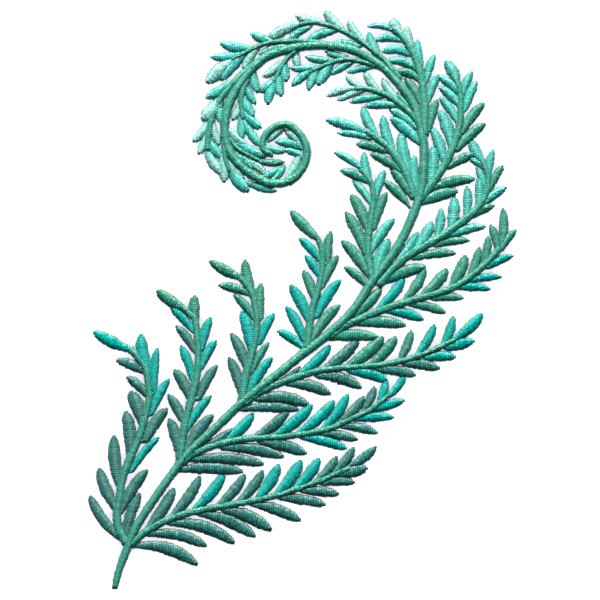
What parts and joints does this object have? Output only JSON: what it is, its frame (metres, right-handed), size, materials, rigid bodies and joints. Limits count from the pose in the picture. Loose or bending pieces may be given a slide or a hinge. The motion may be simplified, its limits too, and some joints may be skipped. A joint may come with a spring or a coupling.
{
  "type": "embroidered fern frond motif",
  "caption": "Fern frond with a curled tip, worked in green and turquoise satin stitch on a square of white cloth.",
  "frame": {"origin": "centre of the backing's underside, which is the middle of the square of cloth", "axes": "+Z out of the cloth on the stitched side; the cut end of the frond points to -X and -Y, its top to +Y"},
  "size_m": [0.112, 0.112, 0.0028],
  "materials": {
    "stem_green": "glossy embroidery thread",
    "cloth_white": "plain white cloth",
    "backing_white": "cut-away stabiliser"
  },
  "bodies": {
    "root": {"backing": "backing_white", "ground_cloth": "cloth_white", "main_stem": "stem_green", "spray_left_1": "stem_green", "spray_left_2": "stem_green", "spray_left_3": "stem_green", "spray_left_4": "stem_green", "spray_left_5": "stem_green", "spray_left_6": "stem_green", "spray_left_7": "stem_green", "spray_top_1": "stem_green", "spray_right_1": "stem_green", "spray_right_2": "stem_green", "spray_right_3": "stem_green", "spray_right_4": "stem_green", "spray_right_5": "stem_green", "spray_right_6": "stem_green"}
  },
  "joints": []
}
